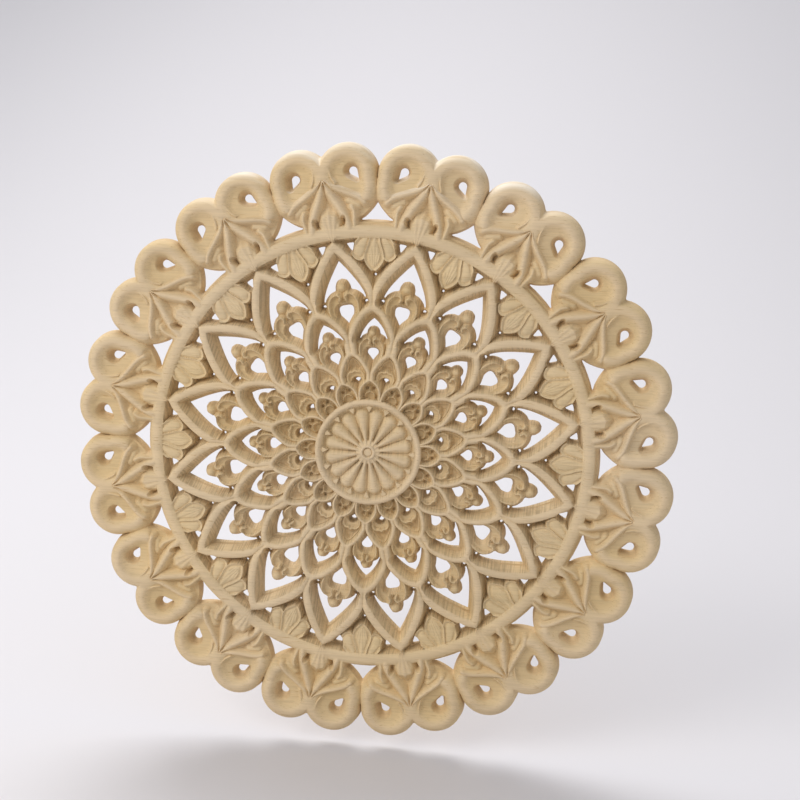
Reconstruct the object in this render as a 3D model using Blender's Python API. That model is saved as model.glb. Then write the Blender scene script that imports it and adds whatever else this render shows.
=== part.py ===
"""Round openwork applique, carved out of one flat board of pale wood.

The disc stands upright: its flat back lies in the plane Y = 0, its carved
front faces -Y, and the origin is in the middle of the back.
The carving repeats sixteen times round the disc and every repeat is a mirror
image, so one narrow wedge is carved, mirrored and turned round the middle.
"""

import math

import bmesh
import bpy
import numpy as np
from mathutils import Matrix, Vector, geometry

# Driving dimensions, in metres
DIAMETER = 0.250
THICKNESS = 0.0080
R = DIAMETER / 2
REPEATS = 16
HALF_REPEAT = math.pi / REPEATS

# Heights of the carving above the back
RIM_TOP = 0.93 * THICKNESS
RING_TOP = 0.93 * THICKNESS
BEAD_TOP = 0.92 * THICKNESS
BEAD_EDGE = 0.60 * THICKNESS
RIB_TOP = 0.88 * THICKNESS
BORDER_FLOOR = 0.66 * THICKNESS
GAP_WALL_TOP = 0.95 * THICKNESS
PIT_FLOOR = 0.30 * THICKNESS
TONGUE_TOP = 0.95 * THICKNESS
PALMETTE_TOP = 0.80 * THICKNESS
PALMETTE_DISH = 0.64 * THICKNESS
TRENCH_FLOOR = 0.24 * THICKNESS
FLEUR_TOP = 0.76 * THICKNESS
BUD_TOP = 0.68 * THICKNESS
WEB_EDGE = 0.50 * THICKNESS
WEB_TOP = 0.66 * THICKNESS
PETAL_FLOOR = 0.22 * THICKNESS
SMALL_FLOOR = 0.36 * THICKNESS
HEART_TOP = 0.68 * THICKNESS
SCALE_FLOOR = 0.48 * THICKNESS
MEDALLION_FLOOR = 0.70 * THICKNESS
FLUTE_TOP = 0.86 * THICKNESS

# Steepness of the cut walls, as rise over run
WALL_SLOPE = 3.2
EDGE_SLOPE = 6.0
SIDE_SLOPE = 4.5
FUNNEL_SLOPE = 4.2
PIT_SLOPE = 4.2
RIB_SLOPE = 0.8
RING_SLOPE = 1.8
BUTTON_SLOPE = 2.4

# Places on lines are (across, along) an axis through the middle, as fractions of R.
# Border: a pair of beads round two eyes, on the axis between two gaps
BEAD_RADIUS = 0.1025 * R
BEAD_REACH = R - BEAD_RADIUS
BEAD_TURN = math.radians(4.98)
BEAD_CREST = 0.034 * R
BEAD_FALL = 0.030 * R
BEAD_JOINT = 0.020 * R
EDGE_RISE_LIMIT = 1.6
BEAD_START = math.radians(-52)
BEAD_END = math.radians(88)
BEAD_STEPS = 7
CREST_STEPS = 8
LOWER_BEAD_PLACE = (0.080 * R, 0.860 * R)
LOWER_BEAD_RADIUS = 0.0985 * R
BODY_RADIUS = 0.870 * R
EYE_PLACE = (0.0950 * R, 0.9035 * R)
EYE_RADIUS = 0.0175 * R
EYE_TIP = (0.1110 * R, 0.8705 * R)
EYE_STEPS = 4
EYE_RIDGE_LINE = [(0.036, 0.938), (0.0264, 0.900), (0.035, 0.867), (0.0556, 0.848),
                  (0.106, 0.822)]
RIB_LINE = [(0.0, 0.860), (0.0194, 0.8256), (0.036, 0.800), (0.053, 0.7756),
            (0.060, 0.747)]
LEAFLET_LINE = [(0.048, 0.822), (0.078, 0.798), (0.086, 0.777)]
RIDGE_HALF_WIDTH = 0.0070 * R
HOLLOW_MIDDLE = (0.0, 0.800)
PIT_PLACE = (0.0375, 0.7475)
PIT_RADIUS = 0.011 * R
PIT_FLAT = 0.004 * R
TONGUE_LINE = [(0.0, 0.774), (0.024, 0.762), (0.0245, 0.7356), (0.0045, 0.6970), (0.0, 0.690)]
GAP_LINE = [(0.0, 0.8085), (0.025, 0.775), (0.050, 0.752), (0.0, 0.754)]
GAP_RIM_LINE = [(0.0, 0.850), (0.026, 0.810), (0.050, 0.790), (0.0672, 0.7788), (0.066, 0.742)]

# Plain ring that frames the petals
RING_RADIUS = 0.7165 * R
RING_HALF_WIDTH = 0.0195 * R

# Palmette in the corner between two large petals and the ring
PALMETTE_LEAF = [(0.0, 0.696), (0.021, 0.696), (0.0285, 0.640), (0.0185, 0.608),
                 (0.0, 0.5856)]
PALMETTE_SIDE = [(0.021, 0.696), (0.055, 0.694), (0.0655, 0.666), (0.0645, 0.642),
                 (0.045, 0.6285), (0.0285, 0.640)]
LEAF_DISH = 0.014 * R
TRENCH_LINE = [(0.0, 0.572), (0.040, 0.606), (0.0715, 0.640), (0.086, 0.651)]
CORNER_HOLE = [(0.036, 0.678), (0.058, 0.678), (0.050, 0.655)]

# Petal outlines, from the tip down one side to the valley between two petals
LARGE_PETAL = [(0.0, 0.689), (0.030, 0.6625), (0.052, 0.634), (0.076, 0.596),
               (0.1045, 0.5256)]
MIDDLE_PETAL = [(0.0, 0.4845), (0.030, 0.4675), (0.060, 0.425), (0.0755, 0.3796)]
SMALL_PETAL = [(0.0, 0.3355), (0.027, 0.3145), (0.0435, 0.2865), (0.0520, 0.2615)]
SCALE = [(0.0, 0.2430), (0.024, 0.2265), (0.0335, 0.2045), (0.022, 0.174)]
SCALE_MIDDLE = (0.0, 0.205)
LARGE_RIM_WIDTH = 0.0240 * R
MIDDLE_RIM_WIDTH = 0.0165 * R
SMALL_RIM_WIDTH = 0.0110 * R
SCALE_RIM_WIDTH = 0.0085 * R

# Openings and fleurs inside the petals
LARGE_CRESCENT = [(0.0, 0.6275), (0.041, 0.567), (0.0655, 0.514), (0.0665, 0.494),
                  (0.0530, 0.5195), (0.0270, 0.534), (0.0215, 0.559), (0.0, 0.5705)]
LARGE_DROP = [(0.0, 0.4815), (0.0205, 0.477), (0.0245, 0.461), (0.0, 0.419)]
LARGE_VOLUTE = [(0.0160, 0.5150), (0.030, 0.5215), (0.0435, 0.506), (0.0500, 0.482),
                (0.0440, 0.450)]
MIDDLE_CRESCENT = [(0.0, 0.4365), (0.024, 0.412), (0.0405, 0.3775), (0.017, 0.388),
                   (0.0120, 0.4055), (0.0, 0.412)]
MIDDLE_DROP = [(0.0, 0.3385), (0.0155, 0.335), (0.0160, 0.319), (0.0, 0.2965)]
MIDDLE_VOLUTE = [(0.0110, 0.3700), (0.022, 0.3745), (0.034, 0.3625), (0.0395, 0.341),
                 (0.0340, 0.313)]
VOLUTE_HALF_WIDTH = 0.0060 * R
LARGE_BUD = (0.0, 0.546)
LARGE_BUD_RADIUS = 0.0140 * R
MIDDLE_BUD = (0.0, 0.3955)
MIDDLE_BUD_RADIUS = 0.0080 * R
WEB_REACH = 0.012 * R
SMALL_HEART = [(0.0, 0.2640), (0.018, 0.2670), (0.0252, 0.2480)]
SMALL_HOLE = [(0.0, 0.2440), (0.0100, 0.2370), (0.0085, 0.2270), (0.0, 0.2225)]

# Medallion in the middle
MEDALLION_RING_RADIUS = 0.1665 * R
MEDALLION_RING_HALF_WIDTH = 0.0095 * R
FLUTE_END = 0.136 * R
BUTTON_RADIUS = 0.0395 * R
BUTTON_FOOT = 0.0460 * R
DIMPLE_RADIUS = 0.0175 * R
DIMPLE_DEPTH = 0.20 * THICKNESS

# How the heights round off, and how finely the facets follow them
RIDGE_ROUNDING = 0.10 * THICKNESS
ROUNDING = 0.05 * THICKNESS
BELOW = -0.10 * THICKNESS
THINNEST = 0.10 * THICKNESS
MITRE_LIMIT = 0.5
RING_STEPS = 2
NEAR = 0.00001
MERGE = 0.000002

NODE_NAME = "carved_disc"
WOOD_COLOUR = (0.66, 0.48, 0.30, 1.0)
WOOD_ROUGHNESS = 0.72


def placed(points):
    """Points given as fractions of the radius, in metres."""
    return [(across * R, along * R) for across, along in points]


def mirrored(line):
    """Closed outline made of a line and its mirror image across the axis."""
    return line + [(-across, along) for across, along in reversed(line) if across > 0.0]


def arc(place, radius, start, end, steps):
    """Points along an arc, with its turns counted from the axis."""
    turns = [start + (end - start) * step / steps for step in range(steps + 1)]
    return [(place[0] + radius * math.sin(turn), place[1] + radius * math.cos(turn))
            for turn in turns]


def teardrop(place, radius, tip):
    """Closed outline of a circle drawn out to a pointed tip."""
    lean = math.atan2(tip[0] - place[0], tip[1] - place[1])
    spread = math.acos(radius / math.dist(tip, place))
    return [tip] + arc(place, radius, lean + spread, lean + 2 * math.pi - spread, EYE_STEPS)


def beside(outline, shift):
    """Closed outline that runs inside another, or outside it for a negative shift."""
    moved = []
    for index, (x, y) in enumerate(outline):
        before = outline[index - 1]
        after = outline[(index + 1) % len(outline)]
        first = Vector((y - before[1], before[0] - x)).normalized()
        second = Vector((after[1] - y, x - after[0])).normalized()
        middle = (first + second).normalized()
        reach = shift / max(middle.dot(first), MITRE_LIMIT)
        moved.append((x + middle.x * reach, y + middle.y * reach))
    return moved


def half_beside(line, shift, end=()):
    """The same for one half of an outline that is mirrored across the axis."""
    return beside(mirrored(line + list(end)), shift)[:len(line)]


def distance_to(line, across, along):
    """Distance of every place from a line of straight steps."""
    nearest = np.full(across.shape, np.inf)
    for (x0, y0), (x1, y1) in zip(line, line[1:]):
        dx = x1 - x0
        dy = y1 - y0
        length = dx * dx + dy * dy
        if length == 0.0:
            continue
        t = np.clip(((across - x0) * dx + (along - y0) * dy) / length, 0.0, 1.0)
        nearest = np.minimum(nearest, np.hypot(across - x0 - t * dx, along - y0 - t * dy))
    return nearest


def depth_inside(outline, across, along):
    """Distance from a closed outline, counted as positive inside it."""
    closed = outline + outline[:1]
    inside = np.zeros(across.shape, dtype=bool)
    for (x0, y0), (x1, y1) in zip(closed, closed[1:]):
        if y0 == y1:
            continue
        level = (y0 > along) != (y1 > along)
        inside ^= level & (across < x0 + (along - y0) * (x1 - x0) / (y1 - y0))
    reach = distance_to(closed, across, along)
    return np.where(inside, reach, -reach)


def soft_max(a, b, rounding=ROUNDING):
    """Higher of two surfaces, with the crease between them rounded."""
    blend = np.maximum(rounding - np.abs(a - b), 0.0) / rounding
    return np.maximum(a, b) + blend * blend * rounding / 4


def soft_min(a, b, rounding=ROUNDING):
    """Lower of two surfaces, with the edge between them rounded."""
    return -soft_max(-a, -b, rounding)


def ridge(distance, half_width, top, slope):
    """Rounded ridge with sloping sides, at a distance from its middle line."""
    crown = top - RIDGE_ROUNDING * np.minimum(distance / half_width, 1.0) ** 2
    return crown - slope * np.maximum(distance - half_width, 0.0)


def dish(depth, width, edge, middle):
    """Hollow that falls from its edge to its middle over a width."""
    t = np.clip(depth / width, 0.0, 1.0)
    return edge + (middle - edge) * t * t * (3.0 - 2.0 * t)


def round_depth(place, radius, across, along):
    """Depth inside a circle."""
    return radius - np.hypot(across - place[0], along - place[1])


def bead_centre():
    """Middle of a bead, on the side of the gap."""
    return (BEAD_REACH * math.sin(BEAD_TURN), BEAD_REACH * math.cos(BEAD_TURN))


def border(x, y, across, along, reach):
    """Beads, eyes, ribs and leaflets, on the axis of a pair of beads."""
    depth = np.maximum(round_depth(bead_centre(), BEAD_RADIUS, across, along),
                       round_depth(LOWER_BEAD_PLACE, LOWER_BEAD_RADIUS, across, along))
    beyond = round_depth(bead_centre(), BEAD_RADIUS, -across, along)
    depth = soft_max(depth, beyond, BEAD_JOINT)
    rise = np.minimum(1.0 - np.minimum(depth / BEAD_CREST, 1.0), EDGE_RISE_LIMIT)
    height = BEAD_TOP - (BEAD_TOP - BEAD_EDGE) * rise ** 2
    height = height + dish(depth - BEAD_CREST, BEAD_FALL, 0.0, BORDER_FLOOR - BEAD_TOP)
    height = np.maximum(height, np.where(reach < BODY_RADIUS, BORDER_FLOOR, BELOW))
    ridges = [distance_to(placed(points), across, along)
              for points in (EYE_RIDGE_LINE, RIB_LINE, LEAFLET_LINE)]
    for away in ridges + [distance_to(placed(GAP_RIM_LINE), x, y)]:
        height = soft_max(height, ridge(away, RIDGE_HALF_WIDTH, RIB_TOP, RIB_SLOPE))
    pit = round_depth(placed([PIT_PLACE])[0], PIT_RADIUS, across, along)
    height = soft_min(height, PIT_FLOOR - PIT_SLOPE * np.minimum(pit - PIT_FLAT, 0.0))
    eye = depth_inside(teardrop(EYE_PLACE, EYE_RADIUS, EYE_TIP), across, along)
    height = soft_min(height, -FUNNEL_SLOPE * eye)
    height = soft_min(height, EDGE_SLOPE * np.maximum(depth, BODY_RADIUS - reach))
    below = depth_inside(mirrored(placed(GAP_LINE)), x, y)
    above = depth_inside(mirrored(placed(GAP_RIM_LINE)), x, y)
    share = -below / np.maximum(np.maximum(above, 0.0) - below, MERGE)
    height = soft_min(height, np.where(below > 0.0, BELOW, GAP_WALL_TOP * share))
    return height - SIDE_SLOPE * np.maximum(RING_RADIUS + RING_HALF_WIDTH - reach, 0.0)


def tongue(across, along):
    """Small leaf that laps over the ring to the tip of a large petal."""
    depth = depth_inside(mirrored(placed(TONGUE_LINE)), across, along)
    return TONGUE_TOP + SIDE_SLOPE * np.minimum(depth, 0.0)


def palmette(x, y):
    """Three-lobed leaf that hangs from the ring into the corner."""
    leaf = depth_inside(mirrored(placed(PALMETTE_LEAF)), x, y)
    side = depth_inside(placed(PALMETTE_SIDE), x, y)
    depth = np.maximum(leaf, side)
    hollow = dish(depth, LEAF_DISH, PALMETTE_TOP, PALMETTE_DISH)
    return hollow + SIDE_SLOPE * np.minimum(depth, 0.0)


def petal_depth(points, across, along):
    """Depth inside a petal, whose sides below the valley run to the middle."""
    return depth_inside(mirrored(placed(points) + [(0.0, 0.0)]), across, along)


def laid_over(below, depth, rim_width, inside):
    """Petal with a raised rim, which hides what lies below it."""
    rim = ridge(np.abs(depth - rim_width / 2), rim_width / 2, RIM_TOP, WALL_SLOPE)
    return np.where(depth > rim_width / 2, soft_max(rim, inside), soft_max(rim, below))


def fleur(across, along, volute_points, drop_points, bud, bud_radius):
    """Bud and two volutes, with a sloping web between them and the drop."""
    volute = placed(volute_points)
    knob = placed([bud])[0]
    drop = depth_inside(mirrored(placed(drop_points)), across, along)
    body = depth_inside(mirrored([knob] + volute), across, along)
    web = dish(-drop, WEB_REACH, WEB_EDGE, WEB_TOP)
    height = np.where(body > 0.0, web, PETAL_FLOOR)
    away = distance_to(volute, across, along)
    height = soft_max(height, ridge(away, VOLUTE_HALF_WIDTH, FLEUR_TOP, WALL_SLOPE))
    swell = np.hypot(across - knob[0], along - knob[1])
    return soft_max(height, ridge(swell, bud_radius, BUD_TOP, WALL_SLOPE))


def heart(across, along):
    """Low heart-shaped ridge in a small petal."""
    away = distance_to(placed(SMALL_HEART), np.abs(across), along)
    return soft_max(SMALL_FLOOR + 0.0 * away, ridge(away, VOLUTE_HALF_WIDTH, HEART_TOP, WALL_SLOPE))


def cut_out(height, points, across, along, slope=WALL_SLOPE):
    """Surface with an opening sawn through it, whose walls slope to the back."""
    return soft_min(height, -slope * depth_inside(mirrored(placed(points)), across, along))


def medallion(reach, across):
    """Raised ring, sixteen swelling flutes and a dimpled button."""
    away = np.abs(reach - MEDALLION_RING_RADIUS)
    ring = ridge(away, MEDALLION_RING_HALF_WIDTH, THICKNESS, RING_SLOPE)
    half_flute = math.tan(HALF_REPEAT) * np.clip(reach, DIMPLE_RADIUS, FLUTE_END)
    past_end = np.maximum(reach - FLUTE_END, 0.0)
    sag = (FLUTE_TOP - MEDALLION_FLOOR) * (np.hypot(across, past_end) / half_flute) ** 2
    flute = np.maximum(FLUTE_TOP - sag, MEDALLION_FLOOR)
    knob = ridge(reach, BUTTON_RADIUS, THICKNESS, BUTTON_SLOPE)
    dimple = DIMPLE_DEPTH * np.maximum(1.0 - (reach / DIMPLE_RADIUS) ** 2, 0.0)
    return np.maximum(np.maximum(flute, ring), knob) - dimple


def relief(x, y):
    """Height of the carving over every place of the wedge."""
    reach = np.hypot(x, y)
    along = x * math.sin(HALF_REPEAT) + y * math.cos(HALF_REPEAT)
    across = y * math.sin(HALF_REPEAT) - x * math.cos(HALF_REPEAT)
    ring = ridge(np.abs(reach - RING_RADIUS), RING_HALF_WIDTH, RING_TOP, SIDE_SLOPE)
    lap = tongue(across, along)

    outer = soft_max(soft_max(border(x, y, across, along, reach), ring), lap)
    corner = depth_inside(placed(CORNER_HOLE), across, along)
    leaf = soft_max(palmette(x, y), TRENCH_FLOOR)
    inner = soft_min(soft_max(soft_max(leaf, ring), lap), -FUNNEL_SLOPE * corner)
    height = np.where(reach < RING_RADIUS, inner, outer)

    inside = fleur(across, along, LARGE_VOLUTE, LARGE_DROP, LARGE_BUD, LARGE_BUD_RADIUS)
    depth = petal_depth(LARGE_PETAL, across, along)
    height = laid_over(height, depth, LARGE_RIM_WIDTH, inside)
    for points in (LARGE_CRESCENT, LARGE_DROP):
        height = cut_out(height, points, across, along)

    inside = fleur(x, y, MIDDLE_VOLUTE, MIDDLE_DROP, MIDDLE_BUD, MIDDLE_BUD_RADIUS)
    depth = petal_depth(MIDDLE_PETAL, x, y)
    height = laid_over(height, depth, MIDDLE_RIM_WIDTH, inside)
    for points in (MIDDLE_CRESCENT, MIDDLE_DROP):
        height = cut_out(height, points, x, y)

    depth = petal_depth(SMALL_PETAL, across, along)
    height = laid_over(height, depth, SMALL_RIM_WIDTH, heart(across, along))
    height = cut_out(height, SMALL_HOLE, across, along)

    depth = depth_inside(mirrored(placed(SCALE)), x, y)
    height = laid_over(height, depth, SCALE_RIM_WIDTH, SCALE_FLOOR + 0.0 * x)
    return np.where(reach < MEDALLION_RING_RADIUS + MEDALLION_RING_HALF_WIDTH,
                    medallion(reach, across), height)


def from_pair_axis(line):
    """Line given on the axis between two gaps, in the wedge's own places."""
    sine = math.sin(HALF_REPEAT)
    cosine = math.cos(HALF_REPEAT)
    return [(along * sine - across * cosine, along * cosine + across * sine)
            for across, along in line]


def closed(outline):
    """Outline whose last point is its first."""
    return outline + outline[:1]


def outlines():
    """Where the carving meets the flat back: the edge and the openings."""
    paired = [arc(bead_centre(), BEAD_RADIUS, BEAD_START, BEAD_END, BEAD_STEPS),
              closed(teardrop(EYE_PLACE, EYE_RADIUS, EYE_TIP)), closed(placed(CORNER_HOLE)),
              placed(LARGE_CRESCENT), placed(LARGE_DROP), placed(SMALL_HOLE)]
    single = [placed(GAP_LINE), placed(MIDDLE_CRESCENT), placed(MIDDLE_DROP)]
    return [from_pair_axis(line) for line in paired] + single


def border_folds():
    """Fold lines of the beads, eyes, ribs, leaflets and gaps, and of the plain ring."""
    edge = BEAD_RADIUS - BEAD_EDGE / EDGE_SLOPE
    eye = teardrop(EYE_PLACE, EYE_RADIUS, EYE_TIP)
    paired = [arc(bead_centre(), edge, BEAD_START, BEAD_END, BEAD_STEPS),
              arc(bead_centre(), BEAD_RADIUS - BEAD_CREST, 0.0, 2 * math.pi, CREST_STEPS),
              closed(beside(eye, -BORDER_FLOOR / FUNNEL_SLOPE)),
              placed(EYE_RIDGE_LINE), placed(RIB_LINE), placed(LEAFLET_LINE),
              placed(TONGUE_LINE)]
    lines = [from_pair_axis(line) for line in paired] + [placed(GAP_RIM_LINE)]
    for across, along in placed(TONGUE_LINE[2:4]):
        turn = HALF_REPEAT - math.atan2(across, along)
        lines.append(arc((0.0, 0.0), math.hypot(across, along), 0.0, turn, RING_STEPS))
    return lines


def petal_folds(points, rim_width, volute):
    """Fold lines of one of the large or middle petals and its fleur."""
    outline = placed(points)
    return [outline, half_beside(outline, rim_width, [(0.0, 0.0)]), placed(volute)]


def inner_folds():
    """Fold lines of the palmettes, petals and scales, and of the medallion."""
    large = petal_folds(LARGE_PETAL, LARGE_RIM_WIDTH, LARGE_VOLUTE)
    middle = petal_folds(MIDDLE_PETAL, MIDDLE_RIM_WIDTH, MIDDLE_VOLUTE)
    small = petal_folds(SMALL_PETAL, SMALL_RIM_WIDTH, SMALL_HEART)
    lines = [from_pair_axis(line) for line in large + small] + middle
    lines += [placed(points) for points in (PALMETTE_LEAF, PALMETTE_SIDE, TRENCH_LINE, SCALE)]
    foot = MEDALLION_RING_RADIUS + MEDALLION_RING_HALF_WIDTH
    for radius in (foot, MEDALLION_RING_RADIUS, 2 * MEDALLION_RING_RADIUS - foot, FLUTE_END,
                   BUTTON_FOOT, BUTTON_RADIUS, DIMPLE_RADIUS):
        lines.append(arc((0.0, 0.0), radius, 0.0, HALF_REPEAT, 1))
    return lines


def peaks():
    """Single high or low places between the folds."""
    paired = [HOLLOW_MIDDLE, PIT_PLACE, LARGE_BUD]
    return [from_pair_axis(placed([place])) for place in paired] + [
        placed([place]) for place in (MIDDLE_BUD, SCALE_MIDDLE)]


def sides():
    """The two sides of the wedge, from the middle of the disc to past its edge."""
    reach = R + BEAD_RADIUS
    return [[(0.0, 0.0), (0.0, reach)],
            [(0.0, 0.0), (reach * math.sin(HALF_REPEAT), reach * math.cos(HALF_REPEAT))]]


def beyond_side(place):
    """How far a place lies inside each of the wedge's two sides."""
    return (place.x, place.y * math.sin(HALF_REPEAT) - place.x * math.cos(HALF_REPEAT))


def on_side(places, indices):
    """Whether all of some places lie on the same side of the wedge."""
    inside = [beyond_side(places[index]) for index in indices]
    return any(max(abs(gap) for gap in gaps) < NEAR for gaps in zip(*inside))


def triangulated(lines):
    """Places and triangles of a plan that keeps every one of the lines."""
    places = []
    edges = []
    for line in lines:
        edges += [(index, index + 1) for index in range(len(places), len(places) + len(line) - 1)]
        places += [Vector(point) for point in line]
    plan = geometry.delaunay_2d_cdt(places, edges, [], 0, NEAR)
    return plan[0], [facet for facet in plan[2] if not on_side(plan[0], facet)]


def middle_of(places, indices):
    """Mean of some of the places."""
    return sum((places[index] for index in indices), Vector((0.0, 0.0))) / len(indices)


def in_wood(place):
    """Whether a place lies in the wedge and the relief is above the back there."""
    height = relief(np.array([place.x]), np.array([place.y]))[0]
    return min(beyond_side(place)) > 0.0 and height > 0.0


def sorted_edges(places, facets):
    """Edges inside the plan, and its rim apart from the wedge's two sides."""
    count = {}
    for facet in facets:
        for start, end in zip(facet, facet[1:] + facet[:1]):
            edge = (min(start, end), max(start, end))
            count[edge] = count.get(edge, 0) + 1
    inner = [edge for edge, uses in count.items() if uses == 2]
    rim = [edge for edge, uses in count.items() if uses == 1 and not on_side(places, edge)]
    return inner, rim


def front_plan():
    """Plan of the carved front, where no inner edge joins two points of its rim."""
    lines = outlines() + border_folds() + inner_folds() + peaks() + sides()
    while True:
        places, facets = triangulated(lines)
        facets = [facet for facet in facets if in_wood(middle_of(places, facet))]
        inner, rim = sorted_edges(places, facets)
        level = {index for edge in rim for index in edge}
        bridges = [edge for edge in inner if level.issuperset(edge)]
        if not bridges:
            return places, facets, rim
        lines += [[middle_of(places, edge)] for edge in bridges]


def back_plan(places, facets, rim):
    """Plan of the flat back, with the same rim and far fewer facets."""
    corners = [[places[index] for index in facet] for facet in facets]
    lines = [[places[start], places[end]] for start, end in rim]
    back_places, back_facets = triangulated(lines + sides())
    kept = []
    for facet in back_facets:
        middle = middle_of(back_places, facet)
        if any(geometry.intersect_point_tri_2d(middle, *corner) for corner in corners):
            kept.append(facet)
    return back_places, kept


def add_sheet(bm, places, heights, facets):
    """Facets of a plan, each corner at its own height."""
    corners = {}
    for index in sorted({index for facet in facets for index in facet}):
        place = places[index]
        x, y = place.x, place.y
        left, right = beyond_side(place)
        if abs(left) < NEAR:
            x = 0.0
        if abs(right) < NEAR:
            reach = math.hypot(x, y)
            x, y = reach * math.sin(HALF_REPEAT), reach * math.cos(HALF_REPEAT)
        corners[index] = bm.verts.new((x, y, heights[index]))
    for facet in facets:
        bm.faces.new([corners[index] for index in facet])


def carve_wedge(bm):
    """Carved front and flat back of half a repeat, open at the wedge's two sides."""
    places, facets, rim = front_plan()
    heights = relief(np.array([place.x for place in places]),
                     np.array([place.y for place in places]))
    heights = np.maximum(heights, THINNEST)
    for edge in rim:
        heights[list(edge)] = 0.0
    add_sheet(bm, places, heights, facets)
    back_places, back_facets = back_plan(places, facets, rim)
    add_sheet(bm, back_places, np.zeros(len(back_places)), back_facets)


def repeat_round(bm):
    """Mirror the wedge, turn it round the middle and stand the disc upright."""
    bmesh.ops.mirror(bm, geom=bm.verts[:] + bm.edges[:] + bm.faces[:], axis="X",
                     matrix=Matrix.Identity(4), merge_dist=MERGE)
    bmesh.ops.spin(bm, geom=bm.verts[:] + bm.edges[:] + bm.faces[:], axis=(0, 0, 1),
                   cent=(0, 0, 0), angle=2 * math.pi * (REPEATS - 1) / REPEATS,
                   steps=REPEATS - 1, use_duplicate=True)
    bmesh.ops.remove_doubles(bm, verts=bm.verts, dist=MERGE)
    bmesh.ops.recalc_face_normals(bm, faces=bm.faces)
    bmesh.ops.rotate(bm, verts=bm.verts, cent=(0, 0, 0),
                     matrix=Matrix.Rotation(math.radians(90), 3, "X"))


def wood():
    """Bare pale wood, sanded and unfinished."""
    material = bpy.data.materials.new("raw_wood")
    material.use_nodes = True
    shader = material.node_tree.nodes["Principled BSDF"]
    shader.inputs["Base Color"].default_value = WOOD_COLOUR
    shader.inputs["Roughness"].default_value = WOOD_ROUGHNESS
    shader.inputs["Metallic"].default_value = 0.0
    return material


def main():
    for item in list(bpy.data.objects):
        bpy.data.objects.remove(item)
    collection = bpy.data.collections.new("wood_applique")
    bpy.context.scene.collection.children.link(collection)

    bm = bmesh.new()
    carve_wedge(bm)
    repeat_round(bm)
    mesh = bpy.data.meshes.new(NODE_NAME)
    bm.to_mesh(mesh)
    bm.free()
    mesh.materials.append(wood())
    disc = bpy.data.objects.new(NODE_NAME, mesh)
    collection.objects.link(disc)


if __name__ == "__main__":
    main()
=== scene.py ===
"""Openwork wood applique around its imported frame: the finely carved disc, its bare
wood, a pale floor with soft studio light, and the camera."""

import math

import bmesh
import bpy
import numpy as np
from mathutils import Matrix, Vector


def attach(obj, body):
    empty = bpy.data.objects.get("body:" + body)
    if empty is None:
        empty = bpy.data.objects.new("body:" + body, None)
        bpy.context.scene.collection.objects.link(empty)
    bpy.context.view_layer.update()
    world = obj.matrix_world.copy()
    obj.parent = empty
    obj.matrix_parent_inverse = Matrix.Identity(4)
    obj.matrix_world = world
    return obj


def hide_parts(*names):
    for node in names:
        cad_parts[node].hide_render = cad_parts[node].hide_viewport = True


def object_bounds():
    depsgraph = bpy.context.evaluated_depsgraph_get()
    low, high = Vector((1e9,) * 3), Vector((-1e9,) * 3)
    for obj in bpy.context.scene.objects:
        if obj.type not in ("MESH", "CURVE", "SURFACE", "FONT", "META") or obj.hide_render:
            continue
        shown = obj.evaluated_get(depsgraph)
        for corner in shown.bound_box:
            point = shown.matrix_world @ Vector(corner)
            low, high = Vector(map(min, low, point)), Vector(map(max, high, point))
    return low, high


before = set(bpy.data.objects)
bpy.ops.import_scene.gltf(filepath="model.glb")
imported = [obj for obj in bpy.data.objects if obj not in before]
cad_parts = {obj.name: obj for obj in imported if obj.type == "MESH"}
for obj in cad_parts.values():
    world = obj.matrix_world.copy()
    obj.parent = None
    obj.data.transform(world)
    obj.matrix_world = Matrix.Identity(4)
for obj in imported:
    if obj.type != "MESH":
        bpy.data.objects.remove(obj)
cad_low, cad_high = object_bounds()

NODE = "carved_disc"

# The board, from the frame: no bead lies straight across, so the box that holds the
# disc is a little narrower than the circle round the beads
THICKNESS = -cad_low.y
WIDEST = 0.9949
R = cad_high.x / WIDEST
REPEATS = 16
HALF_REPEAT = math.pi / REPEATS

# Heights of the carving above the back
RIM_TOP = 0.93 * THICKNESS
RIM_ROUNDING = 0.06 * THICKNESS
RING_TOP = 0.90 * THICKNESS
BEAD_TOP = 0.93 * THICKNESS
BEAD_EDGE = 0.52 * THICKNESS
BEAD_LIP = 0.64 * THICKNESS
FROND_TOP = 0.93 * THICKNESS
FROND_ROUNDING = 0.22 * THICKNESS
RIB_TOP = 0.86 * THICKNESS
MOUND_TOP = 0.74 * THICKNESS
HOLLOW_FLOOR = 0.46 * THICKNESS
SADDLE_TOP = 0.84 * THICKNESS
EYE_ROUNDING = 0.16 * THICKNESS
PIT_FLOOR = 0.20 * THICKNESS
TONGUE_TOP = 0.89 * THICKNESS
PALMETTE_TOP = 0.82 * THICKNESS
PALMETTE_DISH = 0.72 * THICKNESS
LEAF_SWELL = 0.07 * THICKNESS
VEINING = 0.014 * THICKNESS
TRENCH_FLOOR = 0.24 * THICKNESS
FLEUR_TOP = 0.80 * THICKNESS
SHOULDER_TOP = 0.64 * THICKNESS
BUD_TOP = 0.66 * THICKNESS
BUD_ROUNDING = 0.26 * THICKNESS
WEB_FLOOR = 0.52 * THICKNESS
STRAND_TOP = 0.62 * THICKNESS
PETAL_FLOOR = 0.22 * THICKNESS
SMALL_FLOOR = 0.36 * THICKNESS
HEART_TOP = 0.70 * THICKNESS
HEART_FLOOR = 0.52 * THICKNESS
INNER_ARCH_TOP = 0.60 * THICKNESS
SCALE_FLOOR = 0.50 * THICKNESS
SCALE_PIT_FLOOR = 0.36 * THICKNESS
SCALE_RIB_TOP = 0.72 * THICKNESS
MEDALLION_FLOOR = 0.64 * THICKNESS
FLUTE_TOP = 0.90 * THICKNESS
DART_TOP = 0.86 * THICKNESS
BUTTON_STEP = 0.93 * THICKNESS

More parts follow.
